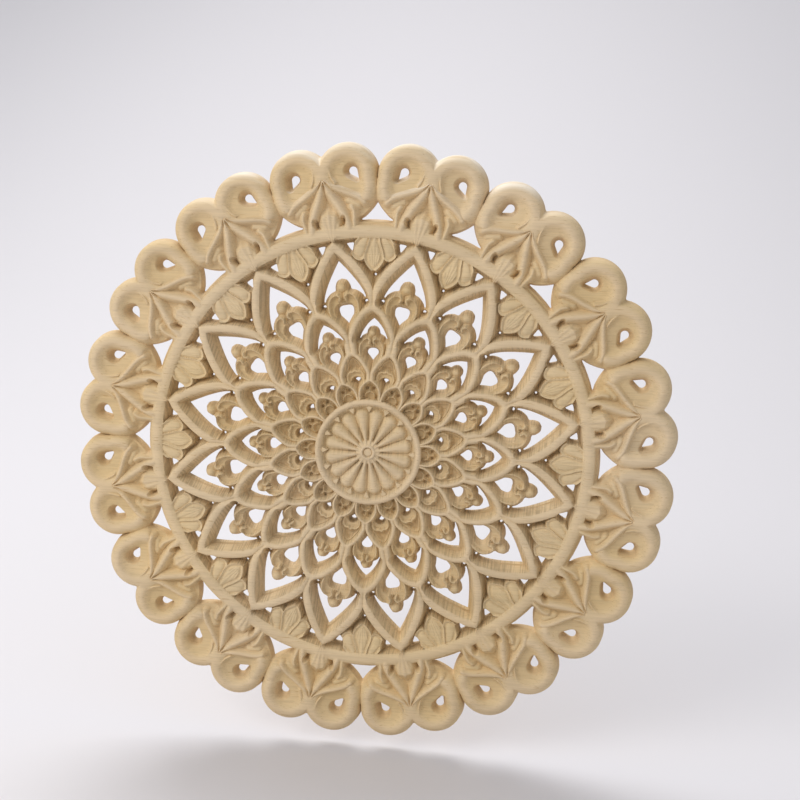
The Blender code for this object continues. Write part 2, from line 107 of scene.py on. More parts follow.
# Steepness of the cut walls, as rise over run
WALL_SLOPE = 3.2
EDGE_SLOPE = 6.0
SIDE_SLOPE = 4.5
FUNNEL_SLOPE = 4.2
EYE_SLOPE = 3.2
RIB_SLOPE = 1.0
LEAFLET_SLOPE = 1.5
LAP_SLOPE = 1.1
FROND_SLOPE = 1.8
SHOULDER_SLOPE = 1.6
RING_SLOPE = 1.8
BUTTON_SLOPE = 2.4

# Places on lines are (across, along) an axis through the middle, as fractions of R.
# Border: a pair of beads round two eyes, on the axis between two gaps
BEAD_RADIUS = 0.1025 * R
BEAD_REACH = R - BEAD_RADIUS
BEAD_TURN = math.radians(4.98)
BEAD_CREST = 0.034 * R
BEAD_FALL = 0.034 * R
BEAD_JOINT = 0.008 * R
EDGE_RISE_LIMIT = 1.6
SADDLE_JOINT = 0.060 * R
HOLLOW_START = 0.815 * R
HOLLOW_RISE = 0.080 * R
FROND_EDGE = 0.024 * R
FROND_TAPER = 0.034 * R
FROND_TIP_SHARE = 0.3
LOWER_BEAD_PLACE = (0.080 * R, 0.860 * R)
LOWER_BEAD_RADIUS = 0.0985 * R
BODY_RADIUS = 0.870 * R
EYE_PLACE = (0.0950 * R, 0.9035 * R)
EYE_RADIUS = 0.0130 * R
EYE_TIP = (0.1090 * R, 0.8780 * R)
EYE_RIM_LINE = [(0.020, 0.940), (0.0255, 0.915), (0.0290, 0.893), (0.038, 0.872)]
SIDE_FROND_LINE = [(0.006, 0.886), (0.020, 0.870), (0.040, 0.855), (0.066, 0.840),
                   (0.092, 0.826), (0.112, 0.812), (0.122, 0.800)]
EYE_SIDE_START = [(-0.1 * R, 0.886 * R)]
EYE_SIDE_END = [(0.2 * R, 0.79 * R), (0.2 * R, 1.1 * R), (-0.1 * R, 1.1 * R)]
FROND_LINE = [(0.002, 0.882), (0.011, 0.856), (0.023, 0.828), (0.038, 0.798), (0.0505, 0.770),
              (0.0580, 0.748), (0.0605, 0.728)]
LEAFLET_LINE = [(0.078, 0.792), (0.0835, 0.778), (0.0830, 0.762), (0.0800, 0.748),
                (0.0780, 0.732)]
MOUND_LINE = [(0.072, 0.814), (0.086, 0.805), (0.100, 0.795)]
MOUND_HALF_WIDTH = 0.0100 * R
FROND_HALF_WIDTH = 0.0145 * R
SIDE_FROND_HALF_WIDTH = 0.0110 * R
LEAFLET_HALF_WIDTH = 0.0060 * R
RIM_LINE_HALF_WIDTH = 0.0040 * R
RIDGE_BLEND = 0.0180 * R
PIT_PLACE = (0.0375 * R, 0.7475 * R)
PIT_RADIUS = 0.0095 * R
PIT_LEAN = -0.35
PIT_FLAT = 0.004 * R
PIT_STRETCH = 1.5
TONGUE_LINE = [(0.0, 0.776), (0.021, 0.768), (0.027, 0.748), (0.0235, 0.722), (0.012, 0.703),
               (0.0, 0.690)]
TONGUE_HALF_WIDTH = 0.027 * R
TONGUE_ROOT = 0.672 * R
FLUTING = 0.022 * THICKNESS
FLUTES_PER_TURN = 30
GAP_LINE = [(0.0, 0.8085), (0.012, 0.7905), (0.025, 0.775), (0.037, 0.763), (0.050, 0.752),
            (0.025, 0.7535), (0.0, 0.754)]

# Plain ring that frames the petals
RING_RADIUS = 0.7165 * R
RING_HALF_WIDTH = 0.0195 * R

# Palmette in the corner between two large petals and the ring
PALMETTE_LEAF = [(0.0, 0.5885), (0.012, 0.5985), (0.0235, 0.612), (0.0315, 0.629),
                 (0.0300, 0.650), (0.0215, 0.676), (0.014, 0.705), (0.0, 0.725)]
PALMETTE_SIDE = [(0.010, 0.700), (0.018, 0.668), (0.030, 0.634), (0.048, 0.6240),
                 (0.0665, 0.634), (0.0735, 0.654), (0.0660, 0.676), (0.052, 0.696),
                 (0.030, 0.720)]
LEAF_DISH = 0.008 * R
VEIN_ROOT = 0.560 * R
VEINS_PER_TURN = 60
CORNER_HOLE = [(0.036, 0.678), (0.047, 0.680), (0.058, 0.678), (0.055, 0.666),
               (0.050, 0.655), (0.043, 0.664)]

# Pinhole below the palmette, in the valley between two large petals
VALLEY_HOLE_PLACE = (0.0, 0.5790 * R)
VALLEY_HOLE_RADIUS = 0.0035 * R

# Petal outlines, from the tip down one side to the valley between two petals
LARGE_PETAL = [(0.0, 0.689), (0.030, 0.6625), (0.052, 0.634), (0.076, 0.596),
               (0.092, 0.5635), (0.1005, 0.538), (0.1035, 0.519), (0.1000, 0.5025)]
MIDDLE_PETAL = [(0.0, 0.4845), (0.030, 0.4675), (0.045, 0.450), (0.060, 0.425),
                (0.0695, 0.4025), (0.0740, 0.386), (0.0745, 0.3745), (0.0715, 0.3595)]
SMALL_PETAL = [(0.0, 0.3355), (0.0145, 0.327), (0.028, 0.3135), (0.0415, 0.289),
               (0.0490, 0.268), (0.0510, 0.2565), (0.0480, 0.2413)]
SCALE = [(0.0, 0.2440), (0.0135, 0.2365), (0.0260, 0.2240), (0.0345, 0.2070),
         (0.0365, 0.188), (0.0345, 0.168), (0.0310, 0.150)]
SCALE_STEM_LINE = [(0.0, 0.2160), (0.0, 0.2010)]
SCALE_ARM_LINE = [(0.0, 0.2010), (0.0070, 0.1985), (0.0135, 0.1930), (0.0160, 0.1840)]
SCALE_PIT_PLACE = (0.0110 * R, 0.2105 * R)
SCALE_PIT_RADIUS = 0.0035 * R
SCALE_RIB_HALF_WIDTH = 0.0022 * R
PETAL_FOOT = 0.25
LARGE_RIM_WIDTH = 0.0240 * R
MIDDLE_RIM_WIDTH = 0.0165 * R
SMALL_RIM_WIDTH = 0.0110 * R
SCALE_RIM_WIDTH = 0.0068 * R

# Openings and fleurs inside the petals
LARGE_CRESCENT = [(0.0, 0.6275), (0.021, 0.598), (0.041, 0.567), (0.0565, 0.539),
                  (0.0660, 0.516), (0.0690, 0.503), (0.0655, 0.502), (0.0615, 0.510),
                  (0.053, 0.5195), (0.041, 0.5285), (0.027, 0.534), (0.0245, 0.548),
                  (0.016, 0.564), (0.0, 0.5705)]
LARGE_DROP = [(0.0, 0.4830), (0.013, 0.4825), (0.0218, 0.477), (0.0238, 0.466),
              (0.0195, 0.448), (0.0105, 0.429), (0.0, 0.413)]
LARGE_VOLUTE = [(0.0125, 0.502), (0.0085, 0.5115), (0.0150, 0.5205), (0.0285, 0.5215),
                (0.0410, 0.5105), (0.0480, 0.491), (0.0485, 0.470), (0.0425, 0.450),
                (0.032, 0.432)]
SPECK_PLACE = (0.0700 * R, 0.4880 * R)
SPECK_RADIUS = 0.0048 * R
MIDDLE_CRESCENT = [(0.0, 0.4365), (0.015, 0.423), (0.028, 0.406), (0.0375, 0.389),
                   (0.0445, 0.3715), (0.0425, 0.3705), (0.0375, 0.3775), (0.0305, 0.3825),
                   (0.0225, 0.3870), (0.0195, 0.3985), (0.0120, 0.4085), (0.0, 0.412)]
MIDDLE_DROP = [(0.0, 0.3385), (0.0095, 0.337), (0.0165, 0.331), (0.0172, 0.322),
               (0.0125, 0.310), (0.006, 0.301), (0.0, 0.2965)]
MIDDLE_VOLUTE = [(0.0090, 0.3585), (0.0058, 0.3665), (0.0105, 0.3735), (0.0205, 0.3745),
                 (0.0305, 0.3660), (0.0370, 0.351), (0.0385, 0.335), (0.0350, 0.318),
                 (0.0275, 0.303)]
LARGE_BUD = (0.0, 0.5450 * R)
LARGE_BUD_RADIUS = 0.0210 * R
MIDDLE_BUD = (0.0, 0.3915 * R)
MIDDLE_BUD_RADIUS = 0.0170 * R
VOLUTE_HALF_WIDTH = 0.0034 * R
SHOULDER_HALF_WIDTH = 0.0080 * R
STRAND_SPREAD = 0.0062 * R
STRAND_HALF_WIDTH = 0.0022 * R
STRAND_REACH = 0.0230 * R
STRAND_DROP = 0.080 * R
SMALL_HEART = [(0.0, 0.2725), (0.0075, 0.2675), (0.018, 0.267), (0.0265, 0.256),
               (0.0272, 0.243), (0.0215, 0.226), (0.011, 0.210)]
HEART_HALF_WIDTH = 0.0040 * R
INNER_ARCH_DEPTH = 0.0195 * R
INNER_ARCH_HALF_WIDTH = 0.0022 * R
SMALL_HOLE_PLACE = (0.0, 0.233 * R)
SMALL_HOLE_RADIUS = 0.0105 * R

# Medallion in the middle
MEDALLION_RING_RADIUS = 0.1665 * R
MEDALLION_RING_HALF_WIDTH = 0.0095 * R
FLUTE_END = 0.127 * R
FLUTE_TIP_SHARE = 1.3
DART = [(0.0, 0.1345), (0.0090, 0.1515), (0.0, 0.1545)]
BUTTON_RADIUS = 0.0385 * R
KNOB_RADIUS = 0.0240 * R
DIMPLE_RADIUS = 0.0195 * R
DIMPLE_FLAT = 0.0135 * R
DIMPLE_DEPTH = 0.12 * THICKNESS
GROOVE_HALF_WIDTH = 0.0014 * R
GROOVE_DEPTH = 0.05 * THICKNESS

# How the heights round off
RIDGE_ROUNDING = 0.10 * THICKNESS
ROUNDING = 0.05 * THICKNESS
BELOW = -0.10 * THICKNESS
CURVE_STEPS = 7

# Mesh of the wedge
GRID_ACROSS = 120
GRID_ALONG = 860
GRID_MARGIN = 0.0004
GRID_START = 0.004
WEDGE_FACETS = 6300
MERGE = 0.000002
NEAR_PLANE = 0.00001
NEAR_MIDDLE = 0.00005
FACES_BACK = 0.98
SHARP_ANGLE = math.radians(40)

# Wood: how fine each pattern is along x, y and z, and the colours
GRAIN_SCALE = (45.0, 900.0, 1500.0)
STREAK_SCALE = (9.0, 120.0, 160.0)
CLOUD_SCALE = (14.0, 20.0, 24.0)
PORE_SCALE = (130.0, 2200.0, 3000.0)
HATCH_SCALE = (2000.0, 60.0, 30.0)
FUZZ_SCALE = (2400.0, 2400.0, 2400.0)
# Painted shade: from the crest colour down to the deep colour, the wood darkens and warms into
# the cuts
CREST_COLOUR = (0.71, 0.540, 0.335, 1.0)
FACE_COLOUR = (0.70, 0.525, 0.285, 1.0)
CUT_SHADE_COLOUR = (0.67, 0.485, 0.245, 1.0)
DEEP_SHADE_COLOUR = (0.58, 0.395, 0.185, 1.0)
# Painted light: steep walls paler, as if lit from behind through the openings
WALL_LIGHT_COLOUR = (0.78, 0.590, 0.345, 1.0)
PALE_COLOUR = (0.73, 0.585, 0.405, 1.0)
# Painted highlight on the upward slopes along the upper edge
TOP_HIGHLIGHT_COLOUR = (0.84, 0.765, 0.655, 1.0)
PORE_COLOUR = (0.78, 0.70, 0.60, 1.0)
# How much of the painted light the steep walls take
WALL_LIGHT_SHARE = 0.55
LINE_SHADE = 0.66
LINES_END = 0.75 * R
LINES_FADE = 0.05 * R
# Where the painted highlight lies: how far up a slope faces, and how high on the disc it
# starts
HIGHLIGHT_LEAN = 0.3
HIGHLIGHT_LEAN_SPAN = 0.5
HIGHLIGHT_START = 0.7667 * R
HIGHLIGHT_SPAN = 0.0833 * R
WOOD_GLOSS = 0.28
BUMP_STRENGTH = 0.55
BUMP_DEPTH = 0.00035
GRAIN_BUMP = 0.5
FUZZ_BUMP = 0.35

# Floor, light and room
FLOOR_GAP = 0.006
SWEEP_WIDTH = 8.0
SWEEP_FRONT = 3.0
SWEEP_START = 0.5
SWEEP_RADIUS = 1.2
SWEEP_ANGLE = math.radians(90)
SWEEP_STEPS = 48
SWEEP_HEIGHT = 1.5
PAPER_COLOUR = (0.66, 0.645, 0.665, 1.0)
PAPER_ROUGHNESS = 0.9
ROOM_COLOUR = (0.86, 0.88, 0.92, 1.0)
ROOM_STRENGTH = 0.66
WINDOW_PLACE = (-0.35, 0.7, 1.3)
WINDOW_SIZE = 1.0
WINDOW_POWER = 17.0
WINDOW_COLOUR = (1.0, 0.99, 0.98)
FILL_PLACE = (-0.65, -0.75, 0.60)
FILL_SIZE = 0.7
FILL_POWER = 6.2
FILL_COLOUR = (1.0, 0.97, 0.93)

# Camera, fitted to the photograph: places in the disc's radius, angles in radians
VIEW_TILT = 0.173872
VIEW_TURN = -0.133015
VIEW_ROLL = -0.036046
VIEW_SHIFT = (-0.099169, -0.162928)
VIEW_DISTANCE = 4.0
VIEW_BACK = 0.004
IMAGE_SIZE = 800
FOCAL_PIXELS = 1207.05
SENSOR_WIDTH = 36.0
NEAR_CLIP = 0.01


def curve_through(points):
    """Smooth line through points given as fractions of the radius."""
    knots = [Vector(point) * R for point in points]
    knots = [2 * knots[0] - knots[1]] + knots + [2 * knots[-1] - knots[-2]]
    line = []
    for a, b, c, d in zip(knots, knots[1:], knots[2:], knots[3:]):
        for step in range(CURVE_STEPS):
            t = step / CURVE_STEPS
            line.append(0.5 * (2 * b + (c - a) * t + (2 * a - 5 * b + 4 * c - d) * t ** 2
                               + (3 * b - a - 3 * c + d) * t ** 3))
    line.append(knots[-2])
    return [tuple(point) for point in line]


def loop_through(points):
    """Closed smooth outline through the points."""
    line = curve_through(points[-2:] + points + points[:2])
    return line[2 * CURVE_STEPS:-2 * CURVE_STEPS]


def mirrored(line):
    """Closed outline made of a line and its mirror image across the axis."""
    return line + [(-across, along) for across, along in reversed(line)]


def teardrop(place, radius, tip):
    """Closed outline of a circle drawn out to a pointed tip."""
    lean = math.atan2(tip[0] - place[0], tip[1] - place[1])
    spread = math.acos(radius / math.dist(tip, place))
    steps = 4 * CURVE_STEPS
    turns = [lean + spread + (2 * math.pi - 2 * spread) * step / steps
             for step in range(steps + 1)]
    return [tip] + [(place[0] + radius * math.sin(turn), place[1] + radius * math.cos(turn))
                    for turn in turns]


def distance_to(line, across, along):
    """Distance of every place from a line of short straight steps."""
    nearest = np.full(across.shape, np.inf)
    for (x0, y0), (x1, y1) in zip(line, line[1:]):
        dx = x1 - x0
        dy = y1 - y0
        length = dx * dx + dy * dy
        if length == 0.0:
            continue
        t = np.clip(((across - x0) * dx + (along - y0) * dy) / length, 0.0, 1.0)
        nearest = np.minimum(nearest, np.hypot(across - x0 - t * dx, along - y0 - t * dy))
    return nearest


def depth_inside(outline, across, along):
    """Distance from a closed outline, counted as positive inside it."""
    closed = outline + outline[:1]
    inside = np.zeros(across.shape, dtype=bool)
    for (x0, y0), (x1, y1) in zip(closed, closed[1:]):
        if y0 == y1:
            continue
        level = (y0 > along) != (y1 > along)
        inside ^= level & (across < x0 + (along - y0) * (x1 - x0) / (y1 - y0))
    reach = distance_to(closed, across, along)
    return np.where(inside, reach, -reach)


def soft_max(a, b, rounding=ROUNDING):
    """Higher of two surfaces, with the crease between them rounded."""
    blend = np.maximum(rounding - np.abs(a - b), 0.0) / rounding
    return np.maximum(a, b) + blend * blend * rounding / 4


def soft_min(a, b, rounding=ROUNDING):
    """Lower of two surfaces, with the edge between them rounded."""
    return -soft_max(-a, -b, rounding)


def ridge(distance, half_width, top, slope, rounding=RIDGE_ROUNDING):
    """Rounded ridge with sloping sides, at a distance from its middle line."""
    crown = top - rounding * np.minimum(distance / half_width, 1.0) ** 2
    return crown - slope * np.maximum(distance - half_width, 0.0)


def dish(depth, width, edge, middle):
    """Hollow that falls from its edge to its middle over a width."""
    t = np.clip(depth / width, 0.0, 1.0)
    return edge + (middle - edge) * t * t * (3.0 - 2.0 * t)


def round_depth(place, radius, across, along):
    """Depth inside a circle."""
    return radius - np.hypot(across - place[0], along - place[1])


def frond(points, across, along, half_width):
    """Round-backed frond along a line, drawn out to a point at the line's start."""
    line = curve_through(points)
    from_point = np.hypot(across - line[0][0], along - line[0][1])
    share = np.clip(from_point / FROND_TAPER, FROND_TIP_SHARE, 1.0)
    away = distance_to(line, across, along)
    return ridge(away, half_width * share, FROND_TOP, FROND_SLOPE, FROND_ROUNDING)


def border(across, along, reach):
    """Beads, eyes and the fronds between them, on the axis of a pair of beads."""
    # Round-backed beads, with a fine line beside each eye
    centre = (BEAD_REACH * math.sin(BEAD_TURN), BEAD_REACH * math.cos(BEAD_TURN))
    own = round_depth(centre, BEAD_RADIUS, across, along)
    other = round_depth(centre, BEAD_RADIUS, -across, along)
    lower = round_depth(LOWER_BEAD_PLACE, LOWER_BEAD_RADIUS, across, along)
    saddle = np.maximum(soft_max(own, other, SADDLE_JOINT), lower)
    rise = np.minimum(1.0 - np.minimum(saddle / BEAD_CREST, 1.0), EDGE_RISE_LIMIT)
    bead = BEAD_TOP - (BEAD_TOP - BEAD_EDGE) * rise ** 2
    bead = bead + dish(saddle - BEAD_CREST, BEAD_FALL, 0.0, BEAD_LIP - BEAD_TOP)
    depth = soft_max(own, other, BEAD_JOINT)
    away = distance_to(curve_through(EYE_RIM_LINE), across, along)
    bead = soft_max(bead, ridge(away, RIM_LINE_HALF_WIDTH, RIB_TOP, RIB_SLOPE))

    # Hollowed ground below the beads, with its fronds, leaflets and mounds
    depth = np.maximum(np.maximum(depth, lower), BODY_RADIUS - reach)
    low = frond(FROND_LINE, across, along, FROND_HALF_WIDTH)
    away = distance_to(curve_through(LEAFLET_LINE), across, along)
    low = soft_max(low, ridge(away, LEAFLET_HALF_WIDTH, RIB_TOP, LEAFLET_SLOPE))
    away = distance_to(curve_through(MOUND_LINE), across, along)
    low = soft_max(low, ridge(away, MOUND_HALF_WIDTH, MOUND_TOP, LEAFLET_SLOPE))
    low = soft_max(low, dish(along - HOLLOW_START, HOLLOW_RISE, HOLLOW_FLOOR, SADDLE_TOP))

    # The side frond parts the beads from the hollow
    eye_side = EYE_SIDE_START + curve_through(SIDE_FROND_LINE) + EYE_SIDE_END
    above = depth_inside(eye_side, across, along)
    share = np.clip(above / RIDGE_BLEND + 0.5, 0.0, 1.0)
    height = low + (bead - low) * share * share * (3.0 - 2.0 * share)
    height = soft_max(height, frond(SIDE_FROND_LINE, across, along, SIDE_FROND_HALF_WIDTH))
    height = soft_min(height, dish(depth, FROND_EDGE, BEAD_EDGE, FROND_TOP + ROUNDING))

    # Leaning pit, eye and outer edge, cut last
    past_pit = along - PIT_PLACE[1]
    pit = PIT_RADIUS - np.hypot(across - PIT_PLACE[0] + PIT_LEAN * past_pit,
                                past_pit / PIT_STRETCH)
    height = soft_min(height, PIT_FLOOR - FUNNEL_SLOPE * np.minimum(pit - PIT_FLAT, 0.0))
    eye = depth_inside(teardrop(EYE_PLACE, EYE_RADIUS, EYE_TIP), across, along)
    height = soft_min(height, -EYE_SLOPE * eye, EYE_ROUNDING)
    height = soft_min(height, EDGE_SLOPE * depth)
    return height - SIDE_SLOPE * np.maximum(RING_RADIUS - reach, 0.0)


def tongue(across, along):
    """Small fluted leaf that laps over the ring to the tip of a large petal."""
    depth = depth_inside(mirrored(curve_through(TONGUE_LINE)), across, along)
    lean = np.arctan2(across, along - TONGUE_ROOT)
    flutes = FLUTING * np.cos(lean * FLUTES_PER_TURN)
    crown = TONGUE_TOP + flutes - RIDGE_ROUNDING * (across / TONGUE_HALF_WIDTH) ** 2
    slope = np.where(along > RING_RADIUS, LAP_SLOPE, SIDE_SLOPE)
    return crown + slope * np.minimum(depth, 0.0)


def palmette(x, y):
    """Three-lobed leaf that hangs from the ring into the corner."""
    leaf = depth_inside(mirrored(curve_through(PALMETTE_LEAF)), x, y)
    side = depth_inside(loop_through(PALMETTE_SIDE), x, y)
    middle = dish(leaf, LEAF_DISH, PALMETTE_TOP, PALMETTE_DISH)
    middle = middle + dish(leaf - LEAF_DISH, LEAF_DISH, 0.0, LEAF_SWELL)
    veins = VEINING * np.cos(VEINS_PER_TURN * np.arctan2(x, y - VEIN_ROOT))
    middle = middle + dish(leaf - LEAF_DISH, LEAF_DISH, 0.0, 1.0) * veins
    wing = dish(side, LEAF_DISH, PALMETTE_TOP, PALMETTE_DISH)
    wing = wing + dish(side - LEAF_DISH, LEAF_DISH, 0.0, LEAF_SWELL)
    middle = middle + SIDE_SLOPE * np.minimum(leaf, 0.0)
    wing = wing + SIDE_SLOPE * np.minimum(side, 0.0)
    return np.where(leaf > 0.0, middle, soft_max(middle, wing))


def laid_over(below, depth, rim_width, inside):
    """Petal with a raised rim, which hides what lies below it."""
    rim = ridge(np.abs(depth - rim_width / 2), rim_width / 2, RIM_TOP, WALL_SLOPE,
                RIM_ROUNDING)
    return np.where(depth > rim_width / 2, soft_max(rim, inside), soft_max(rim, below))


def petal_depth(points, across, along):
    """Depth inside a petal, whose sides below the valley run to the middle."""
    line = curve_through(points)
    line.append((line[-1][0] * PETAL_FOOT, line[-1][1] * PETAL_FOOT))
    return depth_inside(mirrored(line), across, along)


def fleur(across, along, volute_points, drop_points, bud, bud_radius):
    """Domed bud behind two arched fillets, on shoulders that slope to the opening."""
    volute = curve_through(volute_points)
    drop = depth_inside(mirrored(curve_through(drop_points)), across, along)
    body = depth_inside(mirrored([(0.0, volute[0][1])] + volute), across, along)
    height = np.where(body > 0.0, WEB_FLOOR, PETAL_FLOOR)
    strand = np.minimum(np.abs(across), np.abs(np.abs(across) - STRAND_SPREAD))
    strands = ridge(strand, STRAND_HALF_WIDTH, STRAND_TOP, WALL_SLOPE)
    between = (drop > -STRAND_REACH) & (body > 0.0) & (along > bud[1] - STRAND_DROP)
    height = np.where(between, np.maximum(height, strands), height)
    away = distance_to(volute, across, along)
    shoulder = ridge(away, SHOULDER_HALF_WIDTH, SHOULDER_TOP, SHOULDER_SLOPE)
    height = soft_max(height, np.where(body > 0.0, height, shoulder))
    swell = np.hypot(across - bud[0], along - bud[1])
    height = soft_max(height, ridge(swell, bud_radius, BUD_TOP, WALL_SLOPE, BUD_ROUNDING))
    return soft_max(height, ridge(away, VOLUTE_HALF_WIDTH, FLEUR_TOP, WALL_SLOPE))


def heart(across, along, depth):
    """Raised heart in a small petal, under a fine inner arch."""
    line = curve_through(SMALL_HEART)
    body = depth_inside(mirrored(line), across, along)
    height = dish(body + HEART_HALF_WIDTH, 2 * HEART_HALF_WIDTH, SMALL_FLOOR, HEART_FLOOR)
    inset = np.abs(depth - INNER_ARCH_DEPTH)
    arch = ridge(inset, INNER_ARCH_HALF_WIDTH, INNER_ARCH_TOP, RING_SLOPE, ROUNDING)
    height = soft_max(height, arch - RING_SLOPE * np.maximum(body + HEART_HALF_WIDTH, 0.0))
    away = distance_to(line, across, along)
    return soft_max(height, ridge(away, HEART_HALF_WIDTH, HEART_TOP, RING_SLOPE))


def scale_face(x, y):
    """Floor of a scale, with a small three-armed rib and two pits."""
    height = np.full(x.shape, SCALE_FLOOR)
    for points in (SCALE_STEM_LINE, SCALE_ARM_LINE):
        away = distance_to(curve_through(points), x, y)
        rib = ridge(away, SCALE_RIB_HALF_WIDTH, SCALE_RIB_TOP, RING_SLOPE)
        height = soft_max(height, rib)
    pit = round_depth(SCALE_PIT_PLACE, SCALE_PIT_RADIUS, x, y)
    return soft_min(height, SCALE_PIT_FLOOR - FUNNEL_SLOPE * np.minimum(pit, 0.0))


def cut_out(height, points, across, along):
    """Surface with an opening sawn through it, whose walls slope to the back."""
    opening = depth_inside(mirrored(curve_through(points)), across, along)
    return soft_min(height, -WALL_SLOPE * opening)


def medallion(x, y, reach, across):
    """Raised ring, sixteen swelling flutes with darts between them, and a button."""
    away = np.abs(reach - MEDALLION_RING_RADIUS)
    ring = ridge(away, MEDALLION_RING_HALF_WIDTH, THICKNESS, RING_SLOPE)
    half_flute = math.tan(HALF_REPEAT) * np.clip(reach, KNOB_RADIUS, FLUTE_END)
    past_end = FLUTE_TIP_SHARE * np.maximum(reach - FLUTE_END, 0.0)
    sag = (FLUTE_TOP - MEDALLION_FLOOR) * (np.hypot(across, past_end) / half_flute) ** 2
    flute = np.maximum(FLUTE_TOP - sag, MEDALLION_FLOOR)
    dart = depth_inside(mirrored([(a * R, b * R) for a, b in DART]), x, y)
    flute = soft_max(flute, DART_TOP + FUNNEL_SLOPE * np.minimum(dart, 0.0))
    step = ridge(reach, BUTTON_RADIUS, BUTTON_STEP, BUTTON_SLOPE)
    knob = ridge(reach, KNOB_RADIUS, THICKNESS, BUTTON_SLOPE, ROUNDING)
    dimple = dish(reach - DIMPLE_FLAT, DIMPLE_RADIUS - DIMPLE_FLAT, DIMPLE_DEPTH, 0.0)
    groove = ridge(np.abs(reach - DIMPLE_FLAT), GROOVE_HALF_WIDTH, GROOVE_DEPTH, RING_SLOPE)
    carved = soft_max(soft_max(soft_max(flute, ring), step), knob)
    return carved - dimple - np.maximum(groove, 0.0)


def relief(x, y):
    """Height of the carving over every place of the wedge."""
    reach = np.hypot(x, y)
    along = x * math.sin(HALF_REPEAT) + y * math.cos(HALF_REPEAT)
    across = y * math.sin(HALF_REPEAT) - x * math.cos(HALF_REPEAT)

    # Border, ring and the palmettes in its corners
    ring = ridge(np.abs(reach - RING_RADIUS), RING_HALF_WIDTH, RING_TOP, SIDE_SLOPE)
    lap = tongue(across, along)
    gap = depth_inside(mirrored(curve_through(GAP_LINE)), x, y)
    outer = soft_max(soft_max(border(across, along, reach), ring), lap)
    outer = soft_min(outer, -SIDE_SLOPE * gap)
    leaf = soft_max(palmette(x, y), TRENCH_FLOOR)
    height = np.where(reach < RING_RADIUS, soft_max(soft_max(leaf, ring), lap), outer)

    # Large petals, and the small holes round them
    inside = fleur(across, along, LARGE_VOLUTE, LARGE_DROP, LARGE_BUD, LARGE_BUD_RADIUS)
    depth = petal_depth(LARGE_PETAL, across, along)
    height = laid_over(height, depth, LARGE_RIM_WIDTH, inside)
    height = cut_out(cut_out(height, LARGE_CRESCENT, across, along), LARGE_DROP, across, along)
    small = np.maximum(depth_inside(loop_through(CORNER_HOLE), across, along),
                       round_depth(SPECK_PLACE, SPECK_RADIUS, across, along))
    small = np.maximum(small, round_depth(VALLEY_HOLE_PLACE, VALLEY_HOLE_RADIUS, x, y))
    height = soft_min(height, -FUNNEL_SLOPE * small)

    # Middle petals, on the axes between the large ones
    inside = fleur(x, y, MIDDLE_VOLUTE, MIDDLE_DROP, MIDDLE_BUD, MIDDLE_BUD_RADIUS)
    depth = petal_depth(MIDDLE_PETAL, x, y)
    height = laid_over(height, depth, MIDDLE_RIM_WIDTH, inside)
    height = cut_out(cut_out(height, MIDDLE_CRESCENT, x, y), MIDDLE_DROP, x, y)

    # Small petals, scales and the medallion
    depth = petal_depth(SMALL_PETAL, across, along)
    height = laid_over(height, depth, SMALL_RIM_WIDTH, heart(across, along, depth))
    hole = round_depth(SMALL_HOLE_PLACE, SMALL_HOLE_RADIUS, across, along)
    height = soft_min(height, -FUNNEL_SLOPE * hole)

    depth = depth_inside(mirrored(curve_through(SCALE)), x, y)
    height = laid_over(height, depth, SCALE_RIM_WIDTH, scale_face(x, y))
    middle = medallion(x, y, reach, across)
    outside = MEDALLION_RING_RADIUS + MEDALLION_RING_HALF_WIDTH
    height = np.where(reach < MEDALLION_RING_RADIUS, middle,
                      np.where(reach < outside, np.maximum(middle, height), height))
    return np.maximum(height, BELOW)


def carve_wedge(bm):
    """Sheet a little wider than half a repeat, raised to the relief, cut off at the back."""
    bmesh.ops.create_grid(bm, x_segments=GRID_ACROSS, y_segments=GRID_ALONG, size=0.5)
    start = Vector((-math.sin(HALF_REPEAT / 2), -math.cos(HALF_REPEAT / 2), 0.0)) * GRID_START
    for vert in bm.verts:
        turn = (vert.co.x + 0.5) * HALF_REPEAT
        reach = (vert.co.y + 0.5) * (GRID_START + R + GRID_MARGIN)
        vert.co = start + Vector((reach * math.sin(turn), reach * math.cos(turn), 0.0))
    bmesh.ops.remove_doubles(bm, verts=bm.verts, dist=MERGE)
    places = np.array([vert.co for vert in bm.verts], dtype=float)
    # Rounded to a ten-thousandth of a millimetre, so that every machine gets the same
    heights = np.round(relief(places[:, 0], places[:, 1]), 7)
    for vert, height in zip(bm.verts, heights):
        vert.co.z = height
    bmesh.ops.triangulate(bm, faces=bm.faces)
    bmesh.ops.bisect_plane(bm, geom=bm.verts[:] + bm.edges[:] + bm.faces[:], dist=MERGE,
                           plane_co=(0, 0, 0), plane_no=(0, 0, 1), clear_inner=True)


def put_in_order(bm):
    """Sort edges and faces by the numbers of their vertices, the same way every run."""
    bm.verts.index_update()
    count = len(bm.verts)

    def number(part):
        total = 0
        for index in sorted(vert.index for vert in part.verts):
            total = total * count + index
        return total

    bm.edges.sort(key=number)
    bm.faces.sort(key=number)


def thinned(bm, facets):
    """The same sheet with only as many facets as its form needs."""
    mesh = bpy.data.meshes.new("wedge")
    bm.to_mesh(mesh)
    sheet = bpy.data.objects.new("wedge", mesh)
    bpy.context.scene.collection.objects.link(sheet)
    decimate = sheet.modifiers.new("facets", "DECIMATE")
    decimate.ratio = facets / len(mesh.polygons)
    bpy.context.view_layer.update()
    result = bmesh.new()
    result.from_object(sheet, bpy.context.evaluated_depsgraph_get())
    bpy.data.objects.remove(sheet)
    bpy.data.meshes.remove(mesh)
    return result


